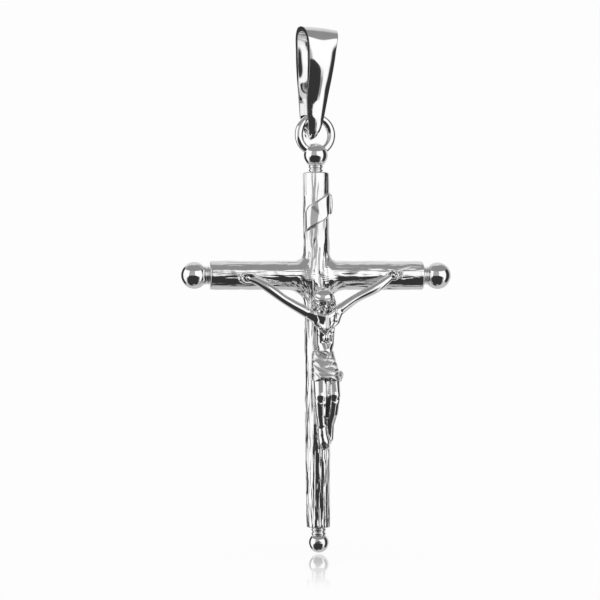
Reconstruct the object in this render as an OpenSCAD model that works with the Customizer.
// A crucifix pendant in cast silver, in millimetres.
// The origin is the chain seat, the middle of the bail's inner crest. Z is up and the figure faces -Y.

/* [Bail] */
// Height of the bail, from its crest to its tip
bail_h = 11.4; // [10.4:0.1:14]
// Width of the strip at the crest
bail_w = 3.9; // [3.2:0.1:5]
// Depth of the opening for the chain, front to back, at its widest
bail_opening = 3.1; // [2.6:0.1:4]
// Thickness of the strip
bail_t = 0.5; // [0.4:0.05:0.65]
// Height of the solid tip below the fold
bail_tip = 1.45; // [1.1:0.05:1.6]
// Turn of the bail about the vertical, which brings its left edge forward, in degrees
bail_turn = 15; // [5:1:18]
// Lean of the bail, with its crest to the right, in degrees
bail_lean = 3.5; // [0:0.5:5]

/* [Jump ring] */
// Outer diameter of the ring
ring_d = 4.3; // [4.2:0.1:5.4]
// Diameter of its wire
ring_wire = 0.86; // [0.7:0.02:0.9]
// Play between the wire and the fold of the bail that holds it
ring_play = 0.46; // [0.42:0.02:0.52]
// Turn of the ring about the vertical, in degrees
ring_turn = 12; // [8:1:15]
// Shift of the ring to the left of the post's axis
ring_shift = 0.15; // [0:0.05:0.3]

/* [Post] */
// Length of the upright, without its finials
post_h = 35.5; // [32:0.2:44]
// Diameter at the top, over the bark
post_d = 2.8; // [2.4:0.05:2.9]
// Diameter at the foot, over the bark
post_foot_d = 2.45; // [2.1:0.05:2.8]

/* [Crossbar] */
// Length of the crossbar, without its finials
bar_w = 21.5; // [19:0.1:27]
// Diameter of the crossbar, over the bark
bar_d = 3.0; // [2.9:0.05:3.4]
// Drop from the top of the post to the crossbar's axis
bar_drop = 10.3; // [9:0.1:12]
// Size of the webs in the upper corners of the crossing
web_upper = 0.75; // [0.4:0.05:1.2]
// Size of the webs in the lower corners of the crossing
web_lower = 1.4; // [0.8:0.05:2]

/* [Bark] */
// Height of the bark's ridges
bark_h = 0.1; // [0.06:0.01:0.14]
// Number of ridges round a beam
bark_count = 11; // [8:1:13]

/* [Finials] */
// Diameter of the balls on the crossbar
side_ball_d = 2.74; // [2.4:0.02:3]
// Diameter of the ball on the top
top_ball_d = 2.5; // [2.2:0.02:2.6]
// Diameter of the ball at the foot
foot_ball_d = 2.06; // [1.9:0.02:2.4]
// Length of the necks on the crossbar, between its ends and the balls
side_neck_l = 0.55; // [0.4:0.05:0.9]
// Diameter of the necks on the crossbar
side_neck_d = 1.95; // [1.6:0.05:2.1]
// Length of the neck on the top
top_neck_l = 0.7; // [0.5:0.05:1]
// Diameter of the neck on the top
top_neck_d = 1.5; // [1.3:0.05:1.8]
// Length of the neck at the foot
foot_neck_l = 0.78; // [0.5:0.02:1]
// Diameter of the neck at the foot
foot_neck_d = 1.5; // [1.2:0.05:1.6]
// Number of turned ribs on a neck
neck_ribs = 2; // [1:1:3]

/* [Scroll] */
// Width of the scroll across the post
scroll_w = 2.6; // [2:0.05:2.7]
// Height of the scroll along each of its upright ends
scroll_h = 2.45; // [1.8:0.05:3]
// Thickness of the scroll over the bark
scroll_t = 0.16; // [0.1:0.02:0.3]
// Slope of the scroll, in degrees
scroll_slope = 31; // [20:1:40]
// Drop from the top of the post to the middle of the scroll
scroll_drop = 4.0; // [3.4:0.1:5]
// Diameter of the rolled end
scroll_roll = 0.42; // [0.3:0.02:0.5]

/* [Figure] */
// Height of the figure, from the crown of the head to the toes
figure_h = 16.0; // [14.6:0.2:17]
// Spread of the arms, from palm to palm
arm_span = 15.1; // [14:0.1:18]
// Drop from the crossbar's axis to the crown of the head
crown_drop = 1.3; // [1:0.1:1.8]
// Shift of the figure to the right of the post's axis
figure_shift = 0.3; // [0:0.05:0.5]
// Gap between the figure and the beams behind it
figure_gap = 0.06; // [0.05:0.01:0.12]

/* [Nails] */
// Diameter of a nail's shank
nail_d = 0.4; // [0.3:0.02:0.46]
// Diameter of a nail's head
nail_head_d = 0.62; // [0.5:0.02:0.72]
// Depth of a nail in its beam
nail_depth = 0.8; // [0.5:0.1:1]
// Clearance round a shank and under a head
nail_gap = 0.04; // [0.03:0.01:0.06]

/* [Hidden] */
$fn = 48;
silver = [0.83, 0.83, 0.85];
pale_silver = [0.9, 0.9, 0.91];

// Where the wire of the ring hangs in the fold of the bail
pocket_r = ring_wire / 2 + ring_play;
pocket_drop = bail_h - bail_t - bail_tip - pocket_r;
hinge_x = -pocket_drop * sin(bail_lean);
hinge_z = -pocket_drop * cos(bail_lean);

// Heights and places down the cross
ring_mid_r = (ring_d - ring_wire) / 2;
ring_z = hinge_z - ring_mid_r;
post_x = hinge_x + ring_shift;
top_ball_z = ring_z - ring_mid_r - ring_wire / 2 + 0.04 * top_ball_d;
post_top = top_ball_z - ball_seat(top_ball_d, top_neck_d) - top_neck_l;
post_foot = post_top - post_h;
bar_z = post_top - bar_drop;
front_y = -(bar_d / 2 + figure_gap);
crown_z = bar_z - crown_drop;

// Distance from a ball's centre to the plane where its neck meets it
function ball_seat(ball_d, neck_d) = sqrt(ball_d * ball_d - neck_d * neck_d) / 2;
// Radius of the post at a height, over the bark
function post_r(z) = (post_d + (post_foot_d - post_d) * (post_top - z) / post_h) / 2;
// A repeatable scatter between -1 and 1
function scatter(i) = sin(i * 137.5 + 40 * sin(i * 71));

// A smooth curve through a table's points, with the given number of steps a span
function curve_at(a, b, c, d, t) =
    0.5 * (2 * b + (c - a) * t + (2 * a - 5 * b + 4 * c - d) * t * t + (3 * b - a - 3 * c + d) * t * t * t);
function curve(p, steps) = [
    for (i = [0 : len(p) - 2], k = [0 : steps - 1])
        curve_at(p[max(i - 1, 0)], p[i], p[i + 1], p[min(i + 2, len(p) - 1)], k / steps),
    p[len(p) - 1]
];
function mirrored(p) = [for (q = p) q, for (i = [len(p) - 1 : -1 : 0]) [-p[i][0], p[i][1]]];

// Bail: the inside of the loop from the crest down to the fold.
// Columns: half depth as a share of the opening's, drop as a share of the drop to the wire, wall as a share
bail_inside = [
    [0.00, 0.000, 1.00],
    [0.42, 0.014, 1.00],
    [0.76, 0.062, 1.00],
    [0.94, 0.145, 1.05],
    [1.00, 0.260, 1.10],
    [0.98, 0.380, 1.10],
    [0.85, 0.560, 1.05],
    [0.66, 0.720, 0.95],
    [0.54, 0.860, 0.80],
];
// Columns: drop as a share of the height, width as a share of the width at the crest
bail_front = [
    [0.000, 1.00],
    [0.055, 0.87],
    [0.170, 0.76],
    [0.305, 0.69],
    [0.483, 0.62],
    [0.615, 0.575],
    [0.753, 0.49],
    [0.892, 0.36],
    [0.936, 0.28],
    [0.975, 0.18],
    [1.000, 0.05],
];

function wall_share(i) = bail_inside[min(i, len(bail_inside) - 1)][2];
inner_upper = curve(
    [for (row = bail_inside) [max(row[0] * bail_opening / 2, row[1] > 0.3 ? pocket_r : 0), -row[1] * pocket_drop]], 3);
inner_half = concat(
    inner_upper,
    [for (a = [0 : 15 : 90]) [pocket_r * cos(a), -pocket_drop - pocket_r * sin(a)]]);
function along(p, i) = p[min(i + 1, len(p) - 1)] - p[max(i - 1, 0)];
function outward(p, i) = let(d = along(p, i)) [-d[1], d[0]] / norm(d);
function square_on(p, i) = i == 0 ? [0, 1] : i == len(p) - 1 ? [0, -1] : outward(p, i);
outer_half = [
    for (i = [0 : len(inner_half) - 1])
        inner_half[i] + bail_t * wall_share(floor(i / 3)) * square_on(inner_half, i)
];
tip_top = -pocket_drop - pocket_r * 0.5;
tip_bottom = bail_t - bail_h;
tip_half = (pocket_r + bail_t * 0.8) * 0.86;

module bail_side() {
    difference() {
        union() {
            polygon(mirrored(outer_half));
            polygon(mirrored([
                [tip_half, tip_top],
                [tip_half * 0.8, tip_top * 0.6 + tip_bottom * 0.4],
                [tip_half * 0.52, tip_top * 0.25 + tip_bottom * 0.75],
                [tip_half * 0.25, tip_bottom + 0.03 * bail_tip],
                [tip_half * 0.05, tip_bottom],
            ]));
        }
        polygon(mirrored(inner_half));
    }
}

module bail_outline() {
    rows = [for (row = bail_front) [row[1] * bail_w / 2, bail_t - row[0] * bail_h]];
    over = [bail_w / 2, bail_t + 1];
    polygon(mirrored(concat([over], curve(rows, 3))));
}

module bail() {
    color(silver)
        rotate([0, bail_lean, 0])
            rotate([0, 0, bail_turn])
                intersection() {
                    rotate([90, 0, 90])
                        linear_extrude(height = bail_w, center = true)
                            bail_side();
                    rotate([90, 0, 0])
                        linear_extrude(height = 2 * bail_opening + 4 * bail_t, center = true)
                            bail_outline();
                }
}

// A ball on a ribbed neck that stands along +Z from the end of a beam
module finial(ball_d, neck_d, neck_l) {
    neck_r = neck_d / 2;
    ball_at = neck_l + ball_seat(ball_d, neck_d);
    pitch = neck_l / neck_ribs;
    translate([0, 0, -0.5])
        cylinder(r = neck_r * 0.9, h = 0.5 + ball_at);
    for (i = [0 : neck_ribs - 1])
        translate([0, 0, pitch * (i + 0.2)])
            cylinder(r = neck_r * 1.12, h = pitch * 0.6);
    translate([0, 0, ball_at])
        sphere(d = ball_d);
}

// Raised ridges of bark along a beam that stands on the origin, in three staggered rows
module bark(r_low, r_high, length, seed) {
    ridge_r = 2.6 * bark_h;
    taper = atan((r_low - r_high) / length);
    rows = 3;
    for (i = [0 : bark_count - 1], row = [0 : rows - 1]) {
        s = scatter(seed + i * rows + row);
        t = scatter(seed + 200 + i * rows + row);
        from = (row + 0.06 + 0.05 * s) / rows;
        to = (row + 0.86 + 0.09 * t) / rows;
        sunk = r_low + (r_high - r_low) * from - ridge_r + bark_h * (0.85 + 0.15 * t);
        rotate([0, 0, (i + row / 3 + 0.2 * s) * 360 / bark_count])
            translate([sunk, 0, from * length])
                rotate([1.8 * t, -taper, 0])
                    cylinder(r = ridge_r, h = (to - from) * length, $fn = 24);
    }
}

module post() {
    foot_r = post_foot_d / 2 - bark_h;
    top_r = post_d / 2 - bark_h;
    translate([post_x, 0, post_foot]) {
        cylinder(r1 = foot_r, r2 = top_r, h = post_h);
        bark(foot_r, top_r, post_h, 3);
    }
    translate([post_x, 0, post_foot])
        rotate([180, 0, 0])
            finial(foot_ball_d, foot_neck_d, foot_neck_l);
    translate([post_x, 0, post_top])
        finial(top_ball_d, top_neck_d, top_neck_l);
}

module crossbar() {
    bar_r = bar_d / 2 - bark_h;
    translate([post_x - bar_w / 2, 0, bar_z])
        rotate([0, 90, 0]) {
            cylinder(r = bar_r, h = bar_w);
            bark(bar_r, bar_r, bar_w, 50);
        }
    for (side = [-1, 1])
        translate([post_x + side * bar_w / 2, 0, bar_z])
            rotate([0, side * 90, 0])
                finial(side_ball_d, side_neck_d, side_neck_l);
}

// A hollow corner between the beams, its size across and its size along the post
module web(across, along_post) {
    arc = [for (a = [0 : 15 : 90]) [across * (1 - sin(a)), along_post * (1 - cos(a))]];
    root = 0.4 * min(across, along_post);
    rotate([90, 0, 0])
        linear_extrude(height = 0.6 * post_d, center = true)
            polygon(concat([[-root, along_post], [-root, -root], [across, -root]], arc));
}

module webs() {
    for (side = [0, 1])
        translate([post_x, 0, bar_z])
            mirror([side, 0, 0]) {
                translate([post_r(bar_z) - bark_h, 0, bar_d / 2 - bark_h])
                    web(web_upper, web_upper);
                translate([post_r(bar_z) - bark_h, 0, bark_h - bar_d / 2])
                    mirror([0, 0, 1])
                        web(web_lower * 0.7, web_lower);
            }
}

module scroll() {
    mid = post_top - scroll_drop;
    rise = scroll_w / 2 * tan(scroll_slope);
    shell_r = post_r(mid) + scroll_t;
    corner = 0.16 * scroll_h;
    half = scroll_w / 2;
    outline = [
        [-half, -rise - scroll_h / 2],
        [half - corner, rise - scroll_h / 2 - corner * tan(scroll_slope)],
        [half, rise - scroll_h / 2 + corner],
        [half, rise + scroll_h / 2],
        [corner - half, scroll_h / 2 - rise + corner * tan(scroll_slope)],
        [-half, scroll_h / 2 - rise - corner],
    ];
    translate([post_x, 0, mid]) {
        intersection() {
            cylinder(r = shell_r, h = 4 * scroll_h, center = true);
            rotate([90, 0, 0])
                linear_extrude(height = 2 * post_d)
                    polygon(outline);
        }
        roll_y = -sqrt(shell_r * shell_r - half * half);
        translate([half, roll_y, rise - scroll_h / 2 + 1.3 * corner])
            cylinder(d = scroll_roll, h = scroll_h - 1.8 * corner);
    }
}

module jump_ring() {
    translate([hinge_x, 0, ring_z])
        rotate([90, 0, ring_turn])
            rotate_extrude()
                translate([ring_mid_r, 0])
                    circle(d = ring_wire);
    translate([(hinge_x + post_x) / 2, 0, ring_z - ring_mid_r])
        sphere(r = ring_wire * 0.62);
}

// A nail's place: the front of the beam that it goes into, and the length of its shank to the head
palm_t = 0.034 * figure_h;
feet_t = 0.060 * figure_h;
function nail_point(who) =
    who == "left_hand" ? left_hand() : who == "right_hand" ? right_hand() : feet_nail();
function nail_reach(who) = who == "feet" ? feet_t : palm_t;

module nail_bore(who) {
    p = nail_point(who);
    translate([p[0], front_y + nail_depth + nail_gap, p[2]])
        rotate([90, 0, 0])
            cylinder(d = nail_d + 2 * nail_gap, h = nail_depth + feet_t + palm_t);
}

module nail_seat(who) {
    p = nail_point(who);
    translate([p[0], front_y - nail_reach(who), p[2]])
        rotate([90, 0, 0])
            cylinder(d = nail_head_d + 2 * nail_gap, h = figure_h * 0.1);
}

module nail(who) {
    p = nail_point(who);
    head_r = nail_head_d / 2;
    color(pale_silver)
        translate([p[0], front_y - nail_reach(who) - nail_gap, p[2]])
            rotate([90, 0, 0]) {
                translate([0, 0, -nail_reach(who) - nail_gap - nail_depth])
                    cylinder(d = nail_d, h = nail_reach(who) + nail_gap + nail_depth + 0.02);
                intersection() {
                    translate([0, 0, -0.5 * head_r])
                        sphere(r = head_r * sqrt(1.25));
                    cylinder(r = head_r, h = head_r);
                }
            }
}

module cross() {
    color(silver)
        difference() {
            union() {
                post();
                crossbar();
                webs();
                scroll();
                jump_ring();
            }
            for (who = ["left_hand", "right_hand", "feet"])
                nail_bore(who);
        }
}

// Figure: a point by shares of its height, across to the right, out from the beams and down from the crown
function at(across, out, down) = [
    post_x + figure_shift + across * figure_h,
    front_y - out * figure_h,
    crown_z - down * figure_h
];
// The palms lie on the crossbar, whatever the figure's height
function left_hand() = [post_x + figure_shift - 0.51 * arm_span, front_y - palm_t / 2, bar_z - 0.1 * bar_d];
function right_hand() = [post_x + figure_shift + 0.49 * arm_span, front_y - palm_t / 2, bar_z];
function feet_nail() = at(0.006, 0.040, 0.895);

shoulder_l = at(-0.088, 0.044, 0.128);
shoulder_r = at(0.094, 0.044, 0.118);
elbow_share = 0.60;
neck = at(0.006, 0.062, 0.120);
skull = at(-0.006, 0.100, 0.060);
jaw = at(-0.018, 0.112, 0.115);
chest = at(0.014, 0.042, 0.188);
waist = at(0.018, 0.032, 0.330);
hips = at(0.014, 0.026, 0.400);
knee_l = at(-0.026, 0.048, 0.676);
knee_r = at(0.058, 0.048, 0.676);
ankle_l = at(-0.008, 0.034, 0.855);
ankle_r = at(0.042, 0.006, 0.850);
toe_l = at(0.006, 0.046, 0.975);
toe_r = at(0.052, 0.012, 0.935);

// A bone's end or a muscle: a ball whose radius is a share of the height
module knob(p, share, sides = 14) {
    translate(p)
        sphere(r = share * figure_h, $fn = sides);
}

module limb(a, a_share, b, b_share, sides = 14) {
    hull() {
        knob(a, a_share, sides);
        knob(b, b_share, sides);
    }
}

function between(a, b, t) = a + (b - a) * t;
function shifted(p, across, out, down) = p + figure_h * [across, -out, -down];

module torso() {
    hull() {
        knob(shoulder_l, 0.024);
        knob(shoulder_r, 0.024);
        knob(neck, 0.026);
        knob(shifted(chest, -0.026, 0, 0), 0.046);
        knob(shifted(chest, 0.026, 0, 0), 0.046);
    }
    hull() {
        knob(shifted(chest, -0.026, 0, 0), 0.045);
        knob(shifted(chest, 0.026, 0, 0), 0.045);
        knob(shifted(chest, 0, 0.006, 0.066), 0.048);
    }
    hull() {
        knob(shifted(chest, 0, 0, 0.060), 0.050);
        knob(waist, 0.044);
    }
    hull() {
        knob(waist, 0.044);
        knob(shifted(hips, -0.024, 0, 0), 0.046);
        knob(shifted(hips, 0.024, 0, 0), 0.046);
    }
    // The two sides of the chest, and the arch of the ribs
    for (side = [-1, 1])
        knob(shifted(chest, side * 0.028, 0.018, -0.010), 0.034);
    knob(shifted(waist, 0, 0.014, -0.020), 0.034);
}

// An arm from the shoulder to the palm, with the elbow a little below the straight line
module arm(shoulder, hand, side) {
    wrist = hand + [-side * 0.060 * figure_h, 0, -0.012 * figure_h];
    elbow = between(shoulder, hand, elbow_share) - [0, 0.004 * figure_h, 0.026 * figure_h];
    limb(shoulder, 0.028, between(shoulder, elbow, 0.5), 0.026);
    limb(between(shoulder, elbow, 0.5), 0.026, elbow, 0.021);
    limb(elbow, 0.021, between(elbow, wrist, 0.35), 0.023);
    limb(between(elbow, wrist, 0.35), 0.023, wrist, 0.016);
    limb(wrist, 0.016, hand, 0.016);
    translate(hand)
        scale([1.1, palm_t / 2 / (0.026 * figure_h), 1])
            sphere(r = 0.030 * figure_h, $fn = 14);
    for (i = [0 : 3])
        limb(
            hand + figure_h * [side * 0.020, 0, 0.020 - 0.012 * i], 0.0085,
            hand + figure_h * [side * (0.050 - 0.004 * i), -0.006, 0.022 - 0.014 * i], 0.0075, 8);
    limb(hand + figure_h * [0, 0, 0.02], 0.008, hand + figure_h * [-side * 0.006, -0.004, 0.040], 0.007, 8);
}

module leg(hip, knee, ankle, toe) {
    calf = shifted(between(knee, ankle, 0.35), 0, -0.006, 0);
    limb(hip, 0.044, knee, 0.034);
    limb(knee, 0.033, calf, 0.032);
    limb(calf, 0.032, ankle, 0.020);
    limb(ankle, 0.021, toe, 0.016);
}

module head() {
    hull() {
        knob(skull, 0.052, 18);
        knob(jaw, 0.030, 14);
    }
    limb(neck, 0.028, jaw, 0.028);
    // Hair: a cap, a fall behind each cheek and the lock that hangs on the right
    knob(shifted(skull, 0.006, -0.010, -0.006), 0.056, 18);
    limb(shifted(skull, 0.052, -0.004, 0.010), 0.018, shifted(skull, 0.060, -0.002, 0.060), 0.013, 10);
    limb(shifted(skull, 0.060, -0.002, 0.060), 0.013, shifted(skull, 0.044, -0.010, 0.100), 0.010, 10);
    limb(shifted(skull, -0.046, -0.006, 0.010), 0.016, shifted(skull, -0.050, -0.006, 0.070), 0.012, 10);
    // Beard and nose
    limb(jaw, 0.024, shifted(jaw, -0.002, 0.004, 0.026), 0.013, 12);
    limb(shifted(skull, -0.008, 0.050, 0.010), 0.006, shifted(skull, -0.011, 0.055, 0.026), 0.009, 8);
}

// The band of twisted thorns round the head
module thorn_band() {
    translate(shifted(skull, 0.003, -0.004, -0.020))
        rotate([-24, -12, 0])
            rotate_extrude($fn = 24)
                translate([0.052 * figure_h, 0])
                    circle(r = 0.011 * figure_h, $fn = 6);
}

// Loincloth: the wrap, its folds from the knot round the front, and the knot with its hanging end
cloth_top = at(0.006, 0.034, 0.392);
cloth_hem = at(0.018, 0.038, 0.548);
knot = at(0.094, 0.044, 0.440);

module cloth_disc(p, across, out) {
    translate(p)
        scale([across, out, 0.018] * figure_h)
            sphere(r = 1, $fn = 20);
}

module loincloth() {
    hull() {
        cloth_disc(cloth_top, 0.074, 0.056);
        cloth_disc(cloth_hem, 0.088, 0.062);
    }
    for (i = [0 : 3]) {
        front = shifted(cloth_top, 0.014, 0.054 + 0.002 * i, 0.024 + 0.036 * i);
        side = shifted(cloth_top, -0.062, 0.020, -0.004 + 0.034 * i);
        limb(shifted(knot, 0, 0, 0.008 * i), 0.011, front, 0.012, 8);
        limb(front, 0.012, side, 0.012, 8);
    }
    limb(knot, 0.020, shifted(knot, 0.006, 0.006, 0.022), 0.018, 10);
    limb(knot, 0.014, shifted(knot, 0.018, -0.004, 0.104), 0.012, 10);
}

// The space that the beams take, with the gap that the figure keeps
module beams_clear() {
    foot_r = post_foot_d / 2 + figure_gap;
    top_r = post_d / 2 + figure_gap;
    translate([post_x, 0, post_foot])
        cylinder(r1 = foot_r, r2 = top_r, h = post_h, $fn = 40);
    translate([post_x, 0, bar_z])
        rotate([0, 90, 0])
            cylinder(r = bar_d / 2 + figure_gap, h = bar_w, center = true, $fn = 40);
    web_top = bar_z + bar_d / 2 + web_upper;
    web_foot = bar_z - bar_d / 2 - web_lower;
    web_half = post_d / 2 + web_upper + web_lower;
    translate([post_x - web_half, -0.3 * post_d - figure_gap, web_foot])
        cube([2 * web_half, 3 * post_d, web_top - web_foot]);
}

module figure() {
    color(pale_silver)
        difference() {
            union() {
                torso();
                arm(shoulder_l, left_hand(), -1);
                arm(shoulder_r, right_hand(), 1);
                leg(shifted(hips, -0.026, 0.004, 0.02), knee_l, ankle_l, toe_l);
                leg(shifted(hips, 0.034, 0.004, 0.02), knee_r, ankle_r, toe_r);
                head();
                thorn_band();
                loincloth();
            }
            beams_clear();
            for (who = ["left_hand", "right_hand", "feet"]) {
                nail_bore(who);
                nail_seat(who);
            }
        }
}

module nail_left_hand() {
    nail("left_hand");
}

module nail_right_hand() {
    nail("right_hand");
}

module nail_feet() {
    nail("feet");
}

bail();
cross();
figure();
nail_left_hand();
nail_right_hand();
nail_feet();
